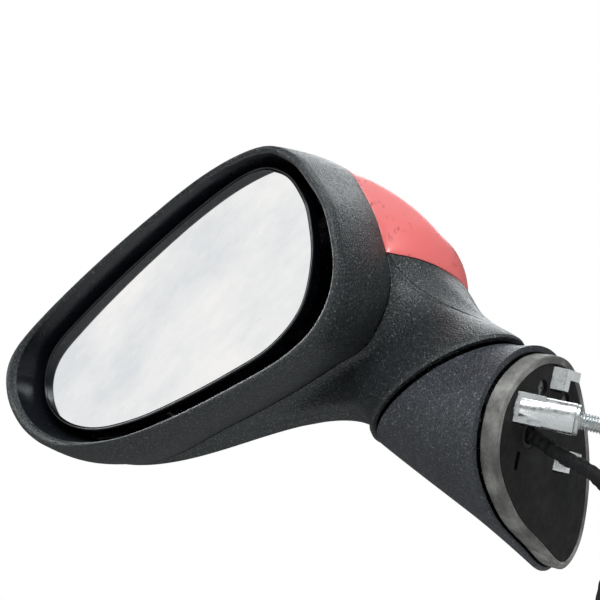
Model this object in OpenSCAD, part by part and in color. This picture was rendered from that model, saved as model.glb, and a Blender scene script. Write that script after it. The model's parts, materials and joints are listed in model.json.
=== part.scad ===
// Left-hand door mirror for a small car: a folding head with an adjustable glass, on a foot that bolts to the door.
// The frame is the car's: +X points inboard, +Y forward and +Z up. The glass faces -Y.
// The origin is the middle of the foot's mounting face.

/* [Glass] */
// Width of the glass, outboard tip to inboard edge
glass_w = 172; // [164:1:176]
// Height of the glass at its inboard end
glass_h = 89; // [84:1:90]
// Thickness of the glass
glass_t = 2; // [1.6:0.1:2.2]
// Half range of the glass adjustment, in degrees
glass_swing = 8; // [4:1:8]

/* [Head] */
// Depth from the lip of the bezel to the back of the painted cap
head_depth = 97; // [92:1:102]
// How far the lip of the bezel stands in front of the glass
lip_front = 11; // [9:0.5:12]
// Wall thickness of the moulded shells
wall = 2.4; // [2:0.1:3]

/* [Fold joint] */
// Half width of the oval fold joint, outboard to inboard
joint_rx = 35; // [33:0.5:36]
// Half depth of the oval fold joint, front to back
joint_ry = 29; // [28:0.5:31]
// Gap between the head and the foot
joint_gap = 2; // [1.5:0.1:2.5]
// Outer radius of the pivot tube
pivot_r = 9; // [8.5:0.1:9.5]
// Play between the pivot tube and the bore that turns on it
pivot_play = 0.05; // [0.03:0.01:0.08]

/* [Foot] */
// Lean of the mounting face from vertical, in degrees
face_lean = 45; // [43:1:47]
// Forward lean of the stud away from the face's normal, in degrees
stud_lean = 25; // [22:1:27]
// Nominal diameter of the stud's thread
stud_d = 6; // [5:1:8]
// Free length of the stud beyond its collar
stud_len = 30; // [20:1:40]

/* [Hidden] */

$fn = 64;
eps = 0.01;
gap = 0.3; // clear space between separate bodies

// Places, measured from the middle of the mounting face
head_at = [-96, -41, 138]; // middle of the glass
joint_at = [75.8, 36.5]; // middle of the oval fold joint, from the middle of the glass
pivot_xy = [75.8, 39.5]; // fold axis, from the middle of the glass
fold_z = -97; // parting plane of the fold joint, from the middle of the glass

// ---------------------------------------------------------------- curves

function mix(a, b, k) = a + (b - a) * k;
function unit(v) = v / max(norm(v), 1e-9);

// Closed smooth curve through the points p; t counts points.
function spline(p, t) =
    let (n = len(p), i = floor(t), u = t - i)
    let (a = p[(i + n - 1) % n], b = p[i % n], c = p[(i + 1) % n], d = p[(i + 2) % n])
    0.5 * (2 * b + (c - a) * u + (2 * a - 5 * b + 4 * c - d) * u * u + (3 * b - a - 3 * c + d) * u * u * u);

// Open smooth curve through the points p, for k from 0 to 1.
function course(p, k) =
    let (m = len(p) - 1, t = min(k, 0.99999) * m, i = floor(t), u = t - i)
    let (a = p[max(i - 1, 0)], b = p[i], c = p[i + 1], d = p[min(i + 2, m)])
    0.5 * (2 * b + (c - a) * u + (2 * a - 5 * b + 4 * c - d) * u * u + (3 * b - a - 3 * c + d) * u * u * u);

// Cubic Bezier curve, for s from 0 to 1.
function bezier(a, b, c, d, s) =
    a * pow(1 - s, 3) + b * 3 * s * pow(1 - s, 2) + c * 3 * s * s * (1 - s) + d * pow(s, 3);

// Unit normal of the closed curve p at t, pointing out of a curve that runs counter-clockwise.
function outward(p, t) =
    let (n = len(p), v = unit(spline(p, t + 0.05) - spline(p, t + n - 0.05)))
    [v[1], -v[0]];

// The closed curve p as count points, moved out by d.
function ring2(p, count, d = 0) =
    [for (i = [0:count - 1]) let (t = i * len(p) / count) spline(p, t) + d * outward(p, t)];

// ---------------------------------------------------------------- closed shells from grids

// Faces of a grid of rows x cols points; wrap joins the last row to the first, flip turns them over.
function sheet_faces(rows, cols, at, wrap, flip) =
    [for (i = [0:rows - (wrap ? 1 : 2)]) for (j = [0:cols - 2])
        let (a = at + i * cols + j, b = at + ((i + 1) % rows) * cols + j)
        flip ? [a, b, b + 1, a + 1] : [a, a + 1, b + 1, b]];

// Faces that close the gap between the border of one grid and the border of the grid behind it.
function rim_faces(rows, cols, at, back, wrap) = concat(
    [for (i = [0:rows - (wrap ? 1 : 2)])
        let (a = at + i * cols, b = at + ((i + 1) % rows) * cols)
        [a, b, b - at + back, a - at + back]],
    [for (i = [0:rows - (wrap ? 1 : 2)])
        let (a = at + i * cols + cols - 1, b = at + ((i + 1) % rows) * cols + cols - 1)
        [b, a, a - at + back, b - at + back]],
    wrap ? [] : [for (j = [0:cols - 2])
        [at + j + 1, at + j, back + j, back + j + 1]],
    wrap ? [] : [for (j = [0:cols - 2])
        let (a = at + (rows - 1) * cols + j)
        [a, a + 1, a + 1 - at + back, a - at + back]]);

// Unit normal of the grid g at row i, column j.
function grid_normal(g, i, j, wrap) =
    let (n = len(g), m = len(g[0]))
    let (u = g[wrap ? (i + 1) % n : min(i + 1, n - 1)][j] - g[wrap ? (i + n - 1) % n : max(i - 1, 0)][j])
    let (v = g[i][min(j + 1, m - 1)] - g[i][max(j - 1, 0)])
    unit(cross(u, v));

// A shell whose outer side is the grid g and whose inner side is depth behind it. The grid's own normals point
// inward. The inner side's first columns, up to the column upto, never lie further forward than front.
module shell(g, depth, wrap, front = -1000, upto = 0) {
    rows = len(g);
    cols = len(g[0]);
    outer = [for (i = [0:rows - 1]) for (j = [0:cols - 1]) g[i][j]];
    inner = [for (i = [0:rows - 1]) for (j = [0:cols - 1])
        let (q = g[i][j] + depth * grid_normal(g, i, j, wrap)) 
        [q[0], j <= upto ? max(q[1], front) : q[1], q[2]]];
    polyhedron(
        concat(inner, outer),
        concat(
            sheet_faces(rows, cols, 0, wrap, false),
            sheet_faces(rows, cols, rows * cols, wrap, true),
            rim_faces(rows, cols, 0, rows * cols, wrap)),
        convexity = 8);
}

// A solid ring whose cross-sections are the closed loops in g.
module loop_solid(g) {
    rows = len(g);
    cols = len(g[0]);
    polyhedron(
        [for (i = [0:rows - 1]) for (j = [0:cols - 1]) g[i][j]],
        [for (i = [0:rows - 1]) for (j = [0:cols - 1])
            let (a = i * cols, b = ((i + 1) % rows) * cols, k = (j + 1) % cols)
            [a + j, b + j, b + k, a + k]],
        convexity = 8);
}

// A round bar of radius r along the points p, closed at both ends; side is a direction that it never runs along.
module bar(p, r, sides = 8, side = [0.2, 1, 0.1]) {
    n = len(p);
    dirs = [for (i = [0:n - 1]) unit(p[min(i + 1, n - 1)] - p[max(i - 1, 0)])];
    ups = [for (i = [0:n - 1]) unit(cross(dirs[i], side))];
    rings = [for (i = [0:n - 1]) let (v = cross(ups[i], dirs[i]))
        for (k = [0:sides - 1]) p[i] + r * (cos(k * 360 / sides) * ups[i] + sin(k * 360 / sides) * v)];
    polyhedron(rings, concat(
        [[for (k = [sides - 1:-1:0]) k]],
        [for (i = [0:n - 2]) for (k = [0:sides - 1]) let (a = i * sides, b = a + sides, m = (k + 1) % sides)
            [a + k, a + m, b + m, b + k]],
        [[for (k = [0:sides - 1]) (n - 1) * sides + k]]), convexity = 8);
}

// Turns local Z onto the mounting face's outward normal, local Y up the face and local X forward.
module on_face() rotate([90 + face_lean, 0, 90]) children();

// From the mounting face to the direction that the casting's post, prongs and stud share.
module along_stud(at) on_face() translate(at) rotate([0, stud_lean, 0]) children();

module in_head() translate(head_at) children();
module at_pivot() in_head() translate([pivot_xy[0], pivot_xy[1], 0]) children();

// A flat plate in the plane of the glass: the outline p, from y = front to y = back.
module glass_plate(p, front, back) translate([0, back, 0]) rotate([90, 0, 0]) linear_extrude(back - front) polygon(p);

// ---------------------------------------------------------------- outlines of the head
// Each runs from the outboard tip along the bottom, up the inboard side and back along the top, as [x, z].

glass_scale = [glass_w / 172, glass_h / 89];
glass_curve = [for (p = [
    [-97, 22], [-92, 3], [-74, -15], [-48, -28], [-20, -37], [8, -44], [32, -48], [52, -44], [66, -30],
    [73, -14], [75, -2], [72.6, 13.5], [61.2, 27.2], [36, 34.5], [-12, 39.5], [-58, 41], [-86, 38]
]) [p[0] * glass_scale[0], p[1] * glass_scale[1]]];
lip_in_curve = [
    [-105, 27], [-100, 4], [-83, -18], [-55, -36], [-22, -48], [12, -57], [42, -63], [62, -61], [77, -49],
    [85, -26], [85, -8], [81.3, 10], [69.2, 25.4], [35.5, 38], [-18, 44.5], [-70, 46], [-95, 42]
];
lip_out_curve = [
    [-113, 28], [-107, 3], [-90, -18], [-58, -37], [-23, -51], [13, -61.5], [43, -67.5], [64, -66],
    [80, -52], [88.5, -28], [89, -8], [85, 12], [71.2, 28], [37, 40.3], [-18, 47.7], [-72, 49.4], [-104, 45.5]
];
rear_curve = [
    [-111, 28], [-106, 3], [-90, -20], [-58, -38.5], [-20, -47.5], [13, -55], [42, -59.5], [61, -61], [80, -48],
    [88, -24], [90, -4], [88, 15], [75, 32], [38, 45.8], [-18, 53.3], [-72, 53.5], [-102, 46.5]
];
curve_n = len(rear_curve);
lip_y = -lip_front;
throat_y = 15; // rear edge of the wall around the glass
throat_gap = 4.5; // clear space between that wall and the glass
rear_y = 25; // joint between the bezel and the shells behind it
back_y = head_depth - lip_front;
belly_out = 2.5; // how far the bezel's side swells
lip_rise = 2.2; // how much further the lip stands out at the outboard end

// The seam between the painted cap and the lower housing, from its inboard end to its outboard end. Each row is
// [x, share of the depth, z, angle of the fold joint below it, place on the rear outline above it].
seam = [
    [86, 0, -34, 0, 8.55], [91, 0.21, -37, 12, 9.3], [93.6, 0.41, -40, 25, 10.2], [93.2, 0.65, -43, 45, 11.1],
    [87.4, 0.86, -44, 65, 11.8], [71, 0.98, -43, 92, 12.4], [40, 1, -38, 125, 13.1], [0, 0.92, -28, 148, 13.8],
    [-40, 0.72, -17, 162, 14.7], [-80, 0.38, -5, 172, 16], [-106, 0, 3, 180, 17.97]
];
// The lower housing's front edge, from outboard to inboard: [place on the rear outline, angle of the joint below].
front_edge = [[0.97, 180], [2, 184], [3, 190], [4, 199], [5, 216], [6, 243], [7, 280], [8, 328], [8.55, 360]];

// How the housing's surface sets off along its front edge and along the seam, as a share of its way down.
front_lead = [[0.06, 0.12, -0.08], [0.06, 0.12, -0.08], [0.02, 0.12, -0.16], [0.04, 0.17, -0.2],
    [-0.08, 0.215, -0.3]];
seam_lead = [[-0.08, 0.215, -0.3], [0.036, 0, -0.275], [0, 0, -0.32], [0.02, 0.03, -0.26], [0.06, 0.12, -0.08]];

// ---------------------------------------------------------------- shell surfaces

// Point of the fold joint's rim at an angle, on the head's side.
function joint_point(a, z) = [joint_at[0] + joint_rx * cos(a), joint_at[1] + joint_ry * sin(a), z];

// Point on the seam, for k from 0 inboard to 1 outboard.
function seam_point(k) = let (s = course(seam, k)) [s[0], mix(rear_y, back_y, max(s[1], 0.01)), s[2]];

// Point on the rear outline just behind the bezel.
function rear_point(t, y = rear_y) = let (p = spline(rear_curve, t)) [p[0], y, p[1]];

// One line of the cap, from the bezel back and down to the seam; the last lines close in on the outboard end.
function cap_line(k, steps) =
    let (place = course(seam, k)[4] + 0.35 * max((k - 0.9) / 0.08, 0))
    let (u = rear_point(place, rear_y + gap), c = seam_point(k) + [0, 0, 1.1], out = outward(rear_curve, place))
    let (reach = c[1] - u[1], drop = norm([c[0] - u[0], c[2] - u[2]]))
    [for (j = [0:steps]) bezier(u, u + [out[0] * 0.12 * reach, 0.5 * reach, out[1] * 0.05 * reach],
        c + [max(out[0], 0) * 0.36 * reach, 0.1 * reach, 0.38 * drop], c, j / steps)];

// One line of the lower housing, from its upper edge a to the fold joint at the given angle.
function housing_line(a, lead, angle, steps) =
    let (b = joint_point(angle, fold_z + joint_gap / 2))
    let (far = norm(b - a), flare = [-0.35 * cos(angle), -0.35 * sin(angle), 1])
    [for (j = [0:steps]) bezier(a, a + lead * far, b + min(max(0.28 * far, 14), 25) * flare, b, j / steps)];

// The lower housing's lines all round: first along the bezel, then back along the seam.
function housing_grid(half, steps) = concat(
    [for (i = [0:half - 1]) let (e = course(front_edge, i / half), a = rear_point(e[0], rear_y + gap))
        housing_line(a, course(front_lead, i / half), e[1], steps)],
    [for (i = [0:half - 1]) let (k = i / half)
        housing_line(seam_point(k), course(seam_lead, k), course(seam, k)[3], steps)]);

// Cross-section of the bezel at t, as a closed loop: up the wall around the glass, over the lip and back outside.
function bezel_section(t) =
    let (g = spline(glass_curve, t), ng = outward(glass_curve, t), nr = outward(rear_curve, t))
    let (li = spline(lip_in_curve, t), lo = spline(lip_out_curve, t), re = spline(rear_curve, t))
    let (lip_y = lip_y - lip_rise * min(max((li[1] / 2 - li[0] - 10) / 90, 0), 1))
    let (throat = g + throat_gap * ng, swell = belly_out * (0.25 + 0.75 * min(max(-nr[0] - nr[1], 0), 1)))
    let (side = function (k) mix(lo, re, k) + swell * sin(180 * k) * nr)
    [for (p = [
        [throat, throat_y], [li, lip_y + 1.6], [mix(li, lo, 0.25), lip_y + 0.4], [mix(li, lo, 0.55), lip_y],
        [mix(li, lo, 0.85), lip_y + 0.8], [lo, lip_y + 3], [side(0.35), mix(lip_y + 3, rear_y, 0.35)],
        [side(0.7), mix(lip_y + 3, rear_y, 0.7)], [re, rear_y], [re - wall * nr, rear_y],
        [side(0.7) - wall * nr, mix(lip_y + 3, rear_y, 0.7)], [mix(mix(li, throat, 0.4), side(0.35), 0.5), 0],
        [throat + wall * ng, throat_y]
    ]) [p[0][0], p[1], p[0][1]]];

bezel_stations = 68;
shell_half = 30;
shell_steps = 10;

module bezel_ring() color([0.2, 0.21, 0.22]) in_head()
    loop_solid([for (i = [0:bezel_stations - 1]) bezel_section(i * curve_n / bezel_stations)]);

module painted_cap() color([0.87, 0.3, 0.3]) in_head()
    shell([for (i = [0:2 * shell_half]) cap_line(mix(0.015, 0.98, i / (2 * shell_half)), shell_steps)], wall, false,
        rear_y + gap, shell_steps);

module lower_housing() color([0.18, 0.19, 0.2]) in_head()
    shell(housing_grid(shell_half, shell_steps), wall, true, rear_y + gap);

// ---------------------------------------------------------------- glass, gimbal and adjusting gear

glass_edge = ring2(glass_curve, 96);
holder_back = 4.6;
holder_front = 2.4;
gimbal_y = 11; // centre of the gimbal
gimbal_pin = 2;
gimbal_fit = 0.05;
ear_in = 8;
ear_out = 11;
ear_r = 3.6;
pan_at = [34, 0]; // jack screw that swings the glass left and right, as [x, z]
tilt_at = [0, -28]; // jack screw that swings it up and down
ball_y = 8.3;
ball_r = 3;
screw_r = 2.5;
cup_r = 4.3;
cup_wall = 1.3;

module mirror_glass() color([0.8, 0.86, 0.88]) in_head() glass_plate(glass_edge, 0, glass_t);

module heater_pad() color([0.55, 0.35, 0.2]) in_head()
    glass_plate(ring2(glass_curve, 96, -4), glass_t + 0.05, holder_front - 0.05);

module glass_holder() color([0.07, 0.07, 0.08]) in_head() {
    difference() {
        union() {
            glass_plate(ring2(glass_curve, 96, 1.6), -0.4, holder_back);
            for (x = [-ear_out, ear_in]) translate([x, 0, 0]) {
                translate([0, holder_back - eps, -ear_r]) cube([ear_out - ear_in, gimbal_y - holder_back, 2 * ear_r]);
                translate([0, gimbal_y, 0]) rotate([0, 90, 0]) cylinder(h = ear_out - ear_in, r = ear_r);
            }
            for (c = [pan_at, tilt_at]) translate([c[0], 10.2, c[1]]) rotate([90, 0, 0])
                cylinder(h = 10.2 - holder_back + eps, r = cup_r + cup_wall);
        }
        glass_plate(ring2(glass_curve, 96, 0.15), -1, holder_front);
        translate([-20, gimbal_y, 0]) rotate([0, 90, 0]) cylinder(h = 40, r = gimbal_pin + gimbal_fit);
        for (c = [pan_at, tilt_at]) translate([c[0], 11, c[1]]) rotate([90, 0, 0])
            cylinder(h = 11 - holder_back, r = cup_r);
    }
}

module pivot_cross() color([0.7, 0.7, 0.68]) in_head() translate([0, gimbal_y, 0]) {
    cube([11, 5, 11], center = true);
    cylinder(h = 2 * ear_out + 1, r = gimbal_pin, center = true);
    rotate([0, 90, 0]) cylinder(h = 2 * ear_out + 1, r = gimbal_pin, center = true);
}

// Worm drive: a gear turns the nut of each jack screw, and a worm on the motor's shaft turns the gear.
teeth = 20;
tooth_pitch = PI * 0.8;
gear_pitch_r = 8;
gear_tip_r = 8.6;
gear_root_r = 7;
worm_pitch_r = 3;
worm_tip_r = 3.65;
worm_root_r = 2.2;
worm_far = gear_pitch_r + worm_pitch_r;
worm_lead_angle = asin(tooth_pitch / (2 * PI * worm_pitch_r));
worm_lead = tooth_pitch / cos(worm_lead_angle);
gear_mid = 25.5;
gear_half = 3;
hub_r = 5;
hub_fit = 0.05;
hub_front = 18.2;
hub_rear = 32;
screw_end = 32.5;
motor_r = 6.5;
motor_from = 12;
motor_len = 24;
worm_half = 6;

module jack_screw(at) in_head() translate([at[0], ball_y, at[1]]) {
    sphere(r = ball_r);
    rotate([-90, 0, 0]) cylinder(h = screw_end - ball_y, r = screw_r);
}
module pan_screw() color([0.85, 0.85, 0.8]) jack_screw(pan_at);
module tilt_screw() color([0.85, 0.85, 0.8]) jack_screw(tilt_at);

// A gear whose tooth space at its local -X side faces the worm; toward turns that side to the worm.
module nut_gear(at, toward) in_head() translate([at[0], 0, at[1]]) rotate([-90, 0, 0]) rotate([0, 0, toward])
    difference() {
        union() {
            translate([0, 0, gear_mid - gear_half]) linear_extrude(2 * gear_half) polygon([
                for (i = [0:teeth - 1]) for (e = [[-0.44, gear_root_r], [-0.3, gear_root_r], [-0.21, gear_pitch_r],
                    [-0.13, gear_tip_r], [0.13, gear_tip_r], [0.21, gear_pitch_r], [0.3, gear_root_r]])
                    let (a = 180 + (i + 0.5 + e[0]) * 360 / teeth) [e[1] * cos(a), e[1] * sin(a)]]);
            translate([0, 0, hub_front]) cylinder(h = hub_rear - hub_front, r = hub_r);
        }
        translate([0, 0, 0]) cylinder(h = 60, r = screw_r + hub_fit);
    }
module pan_gear() color([0.93, 0.92, 0.86]) nut_gear(pan_at, 0);
module tilt_gear() color([0.93, 0.92, 0.86]) nut_gear(tilt_at, 90);

// Local Z is the worm's shaft, running toward its motor; local X points at the gear.
module pan_drive() in_head() translate([pan_at[0] - worm_far, gear_mid, pan_at[1]])
    rotate([-worm_lead_angle, 0, 0]) children();
module tilt_drive() in_head() translate([tilt_at[0], gear_mid, tilt_at[1] + worm_far])
    rotate([0, 90, 0]) mirror([0, 0, 1]) rotate([-worm_lead_angle, 0, 0]) children();

// Radius of the worm where the thread's phase is u turns from its crest.
function thread_r(u) = let (d = abs(u - round(u)))
    d < 0.13 ? worm_tip_r : d > 0.3 ? worm_root_r : mix(worm_tip_r, worm_root_r, (d - 0.13) / 0.17);

module worm() {
    sides = 16;
    per = 10;
    steps = floor(2 * worm_half / worm_lead * per);
    body = [for (i = [0:steps]) for (k = [0:sides - 1])
        let (z = (i - steps / 2) * worm_lead / per, r = thread_r(z / worm_lead - k / sides))
        [r * cos(k * 360 / sides), r * sin(k * 360 / sides), z]];
    shaft = function (z) [for (k = [0:sides - 1]) [cos(k * 360 / sides), sin(k * 360 / sides), z]];
    far = (steps / 2) * worm_lead / per;
    points = concat(shaft(-far - 3), shaft(-far), body, shaft(far), shaft(motor_from + 6));
    rings = steps + 5;
    polyhedron(points, concat(
        [[for (k = [0:sides - 1]) k]],
        [for (i = [0:rings - 2]) for (k = [0:sides - 1]) for (f = [0, 1])
            let (a = i * sides, b = a + sides, m = (k + 1) % sides)
            f == 0 ? [a + k, b + k, a + m] : [b + k, b + m, a + m]],
        [[for (k = [sides - 1:-1:0]) (rings - 1) * sides + k]]), convexity = 8);
}
module pan_worm() color([0.2, 0.2, 0.22]) pan_drive() worm();
module tilt_worm() color([0.2, 0.2, 0.22]) tilt_drive() worm();

module motor() difference() {
    union() {
        translate([0, 0, motor_from]) cylinder(h = motor_len, r = motor_r);
        translate([0, 0, motor_from - 1.5]) cylinder(h = 2, r = 3);
    }
    translate([0, 0, motor_from - 2]) cylinder(h = 9, r = 1.4);
}
module pan_motor() color([0.75, 0.76, 0.78]) pan_drive() motor();
module tilt_motor() color([0.75, 0.76, 0.78]) tilt_drive() motor();

// Space that the worm, its motor and the gear need inside the actuator.
module drive_pocket() {
    translate([0, 0, motor_from - 0.3]) cylinder(h = motor_len + 0.6, r = motor_r + 0.02);
    translate([0, 0, -worm_half - 1]) cylinder(h = worm_half + 1 + motor_from, r = worm_tip_r + 0.8);
    translate([0, 0, -worm_half - 4]) cylinder(h = 4, r = 1.4);
}
module pockets() {
    pan_drive() drive_pocket();
    tilt_drive() drive_pocket();
    in_head() for (c = [pan_at, tilt_at]) translate([c[0], 0, c[1]]) rotate([-90, 0, 0]) {
        translate([0, 0, gear_mid - gear_half - 0.4]) cylinder(h = 2 * gear_half + 0.8, r = gear_tip_r + 0.7);
        translate([0, 0, 10]) cylinder(h = hub_rear + 0.4 - 10, r = hub_r + hub_fit);
        translate([0, 0, 10]) cylinder(h = 28, r = screw_r + 0.6);
    }
}

case_front = 17;
case_split = 25.5;
case_rear = 38.8;
lugs = [[-16, 4], [39, 16], [16, -31]]; // screws that clamp the actuator to the frame, as [x, z]

module case_outline() {
    circle(r = 13);
    translate(pan_at) circle(r = 12);
    translate(tilt_at) circle(r = 12);
    translate([pan_at[0] - worm_far - 8.5, -10.5]) square([17, 49.5]);
    translate([-39, tilt_at[1] + worm_far - 8.5]) square([49.5, 17]);
    translate([-10, -28]) square([40, 28]);
    for (c = lugs) translate(c) circle(r = 5);
}
module case_half(y0, y1) in_head() translate([0, y1, 0]) rotate([90, 0, 0]) linear_extrude(y1 - y0) case_outline();
module lug_holes(r) in_head() for (c = lugs) translate([c[0], 0, c[1]]) rotate([-90, 0, 0]) cylinder(h = 60, r = r);

module actuator_front() color([0.12, 0.12, 0.13]) {
    difference() {
        case_half(case_front, case_split - 0.05);
        pockets();
        lug_holes(1.6);
    }
    in_head() for (z = [-ear_out, ear_in]) difference() {
        translate([0, 0, z]) {
            translate([-ear_r, gimbal_y, 0]) cube([2 * ear_r, case_front - gimbal_y + eps, ear_out - ear_in]);
            translate([0, gimbal_y, 0]) cylinder(h = ear_out - ear_in, r = ear_r);
        }
        translate([0, gimbal_y, z - 1]) cylinder(h = 5, r = gimbal_pin + gimbal_fit);
    }
}
module actuator_rear() color([0.12, 0.12, 0.13]) difference() {
    case_half(case_split + 0.05, case_rear);
    pockets();
    lug_holes(1.6);
}
module actuator_screws() color([0.6, 0.6, 0.6]) in_head() for (c = lugs)
    translate([c[0], case_front - 0.05, c[1]]) rotate([-90, 0, 0]) {
        cylinder(h = 28, r = 1.5);
        translate([0, 0, -2.4]) difference() {
            cylinder(h = 2.4, r = 3);
            translate([0, 0, -eps]) for (a = [0, 90]) rotate([0, 0, a]) translate([-2, -0.4, 0]) cube([4, 0.8, 1.2]);
        }
    }

// ---------------------------------------------------------------- frame and fold pivot

frame_y = 39.5;
frame_t = 3;
boss_r = 16;
boss_top = -87;
boss_low = fold_z - 1.6;
stop_low = fold_z - 4.6; // lowest point of the lugs that meet the stops
frame_lugs = [[-74, 22], [-62, -8], [44, 33], [72, 8]]; // screws that hold the frame to the bezel, as [x, z]
fold_from = -55;
fold_to = 68;
key_half = 14; // half width of each stop lug, in degrees
key_in = 11;
key_out = 14;

module wedge(r, a0, a1) {
    n = 12;
    polygon(concat([[0, 0]], [for (i = [0:n]) let (a = mix(a0, a1, i / n)) [r * cos(a), r * sin(a)]]));
}

module inner_frame() color([0.3, 0.31, 0.32]) difference() {
    union() {
        in_head() {
            translate([0, frame_y + frame_t, 0]) rotate([90, 0, 0]) linear_extrude(frame_t) {
                polygon([[-30, -22], [-44, 16], [-20, 24], [14, 40], [40, 38], [56, 26], [58, -18], [60, -56],
                    [60.5, -88], [88, -88.5], [88, -96], [66, -96], [56, -90], [50, -74], [44, -54], [20, -42],
                    [-8, -42]]);
                for (c = frame_lugs) translate(c) circle(r = 4.5);
                polygon([[-36, 20], [-74, 26], [-74, 18], [-36, 4]]);
                polygon([[-34, -10], [-62, -4], [-62, -12], [-30, -20]]);
                polygon([[50, 20], [72, 12], [72, 4], [52, -2]]);
            }
            for (c = frame_lugs) translate([c[0], frame_y + eps, c[1]]) rotate([90, 0, 0])
                cylinder(h = frame_y - 27, r = 3.4);
            for (z = [-40, -14]) translate([-6, frame_y + frame_t - eps, z]) cube([60, 5, 2]);
        }
        at_pivot() translate([0, 0, boss_low]) cylinder(h = boss_top - boss_low, r = boss_r);
        for (a = [0, 180]) at_pivot() translate([0, 0, stop_low]) linear_extrude(boss_low - stop_low + 1)
            difference() {
                intersection() {
                    circle(r = key_out);
                    wedge(30, a - key_half, a + key_half);
                }
                circle(r = key_in);
            }
    }
    at_pivot() translate([0, 0, stop_low - 1]) cylinder(h = 60, r = pivot_r + pivot_play);
    lug_holes(1.55);
    in_head() for (c = frame_lugs) translate([c[0], 10, c[1]]) rotate([-90, 0, 0]) cylinder(h = 40, r = 1.6);
    in_head() translate([20, 30, -14]) rotate([-90, 0, 0]) cylinder(h = 30, r = 7);
}

module frame_screws() color([0.6, 0.6, 0.6]) in_head() for (c = frame_lugs)
    translate([c[0], frame_y + frame_t + 0.05, c[1]]) rotate([90, 0, 0]) {
        cylinder(h = 22, r = 1.5);
        translate([0, 0, -2.4]) difference() {
            cylinder(h = 2.4, r = 3);
            translate([0, 0, -eps]) for (a = [0, 90]) rotate([0, 0, a]) translate([-2, -0.4, 0]) cube([4, 0.8, 1.2]);
        }
    }

tube_bore = 6.5;
tube_low = fold_z - 28;
tube_top = fold_z + 23;
retainer_at = fold_z + 20;
stop_top = fold_z - 2;
ring_low = fold_z - 7;

module pivot_tube() color([0.72, 0.73, 0.74]) at_pivot() difference() {
    translate([0, 0, tube_low]) cylinder(h = tube_top - tube_low, r = pivot_r);
    translate([0, 0, tube_low - 1]) cylinder(h = tube_top - tube_low + 2, r = tube_bore);
}

module stop_ring() color([0.5, 0.5, 0.52]) at_pivot() difference() {
    translate([0, 0, ring_low]) cylinder(h = stop_top - ring_low, r = boss_r);
    translate([0, 0, ring_low - 1]) cylinder(h = 20, r = pivot_r + 0.03);
    for (a = [0, 180]) translate([0, 0, stop_low - 0.4]) linear_extrude(10) difference() {
        intersection() {
            circle(r = key_out + 0.4);
            wedge(30, a + fold_from - key_half - 2, a + fold_to + key_half + 2);
        }
        circle(r = key_in - 0.4);
    }
}

module thrust_washer() color([0.8, 0.8, 0.78]) at_pivot() translate([0, 0, boss_top + 0.2]) difference() {
    cylinder(h = 1.5, r = 14);
    translate([0, 0, -1]) cylinder(h = 4, r = pivot_r + 0.3);
}

spring_low = boss_top + 2;
spring_high = retainer_at - 0.3;
wire_r = 1.3;
coils = 2;
module fold_spring() color([0.6, 0.6, 0.63]) at_pivot()
    bar([for (i = [0:coils * 16]) let (a = i * 22.5)
        [(pivot_r + 0.3 + wire_r) * cos(a), (pivot_r + 0.3 + wire_r) * sin(a),
            mix(spring_low + wire_r, spring_high - wire_r, i / (coils * 16))]], wire_r, 8, [0, 0, 1]);

module spring_retainer() color([0.7, 0.7, 0.72]) at_pivot() translate([0, 0, retainer_at]) difference() {
    cylinder(h = 3, r = 11.5);
    translate([0, 0, -1]) cylinder(h = 6, r = pivot_r + 0.02);
}

// ---------------------------------------------------------------- foot

// Outline of the mounting face, as [forward, up the face], from its top.
face_curve = [
    [0, 36], [-18, 33], [-32, 22], [-37, 8], [-32, -9], [-14, -24], [8, -33], [29, -39.4], [39.5, -28.5],
    [38, -8], [29, 11],
    [14, 29]
];
plate_t = 6;
cover_edge = -7; // end of the cover, behind the mounting face
band = 3; // width of the gasket band
post_at = [-27, 14];
prong_high = [-8, 28];
prong_low = [6, 0];
slot_at = [-20, -4];
cable_at = [-15, 6];
screw_holes = [[-13, 23], [5, 21]];
post_len = 18.5;
collar_t = 1.5;
collar_r = 5.3;
shank_r = stud_d / 2 - 0.3; // plain part of the stud, inside the post
cable_r = 2.75;
harness_r = 2.4;

// World point of a place on the mounting face.
function face_point(p, out = 0) =
    [sin(face_lean) * p[1] + cos(face_lean) * out, p[0], cos(face_lean) * p[1] - sin(face_lean) * out];

module face_slab(d, z0, z1) on_face() translate([0, 0, z0]) linear_extrude(z1 - z0) polygon(ring2(face_curve, 72, -d));

module bracket_slab(z0, z1) on_face() translate([0, 0, z0]) linear_extrude(z1 - z0) intersection() {
    polygon(ring2(face_curve, 48, -4.5));
    translate([0, 11]) polygon(ring2(face_curve, 48, -4.5));
}

// Two flanges joined by a web: the cross-section of the cast post and prongs.
module channel(w, h, t, len, skew) difference() {
    translate([-w / 2, -h / 2, 0]) cube([w, h, len]);
    translate([-w / 2 + t, -h / 2 - 1, -1]) cube([w, h - 2 * t + 1, len + 2]);
    translate([w / 2, 0, len]) rotate([0, skew, 0]) translate([-3 * w, -h, 0]) cube([4 * w, 2 * h, len]);
}

axis_at = [head_at[0] + pivot_xy[0], head_at[1] + pivot_xy[1]]; // fold axis, from the mounting face's middle
joint_z = head_at[2] + fold_z;

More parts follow.
